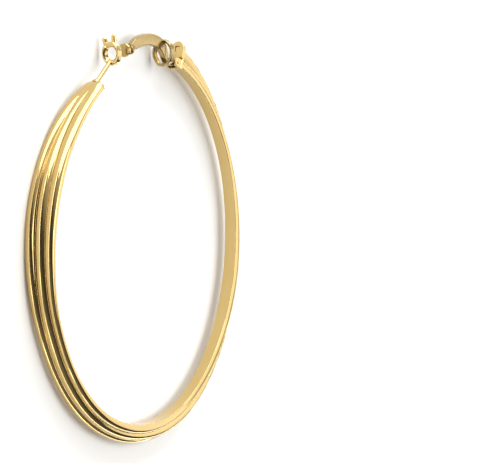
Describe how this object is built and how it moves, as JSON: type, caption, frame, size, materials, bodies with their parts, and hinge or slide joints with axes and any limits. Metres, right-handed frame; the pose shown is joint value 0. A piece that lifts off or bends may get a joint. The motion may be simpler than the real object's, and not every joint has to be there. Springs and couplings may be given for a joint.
{
  "type": "hoop earring",
  "caption": "Large clip-on hoop earring with a ribbed band, an arched hinged clip arm with a round ear pad, and a front post with a ring and prongs.",
  "frame": {"origin": "middle of the object's box on the surface that it lies on", "axes": "+Z along the hoop's own axis, which points up because the hoop lies on its side; +Y is the way up as worn; +X runs from the hoop's front end to its hinge end"},
  "size_m": [0.064, 0.0676, 0.0052],
  "materials": {
    "polished_gold": "mirror-polished yellow gold plate",
    "post_gold": "polished yellow gold plate",
    "bracket_gold": "polished yellow gold plate",
    "pin_gold": "polished yellow gold plate",
    "arm_gold": "softly polished yellow gold plate",
    "pad_gold": "polished yellow gold plate"
  },
  "bodies": {
    "hoop": {"hoop_band": "polished_gold", "front_post": "post_gold", "hinge_bracket": "bracket_gold", "hinge_pin": "pin_gold"},
    "clip": {"clip_arm": "arm_gold", "clip_pad": "pad_gold"}
  },
  "joints": [
    {"name": "clip_hinge", "type": "hinge", "parent": "hoop", "child": "clip", "pos_m": [0.00941, 0.02886, 0.0026], "axis": [0, 0, -1], "range_deg": [0, 60]}
  ]
}
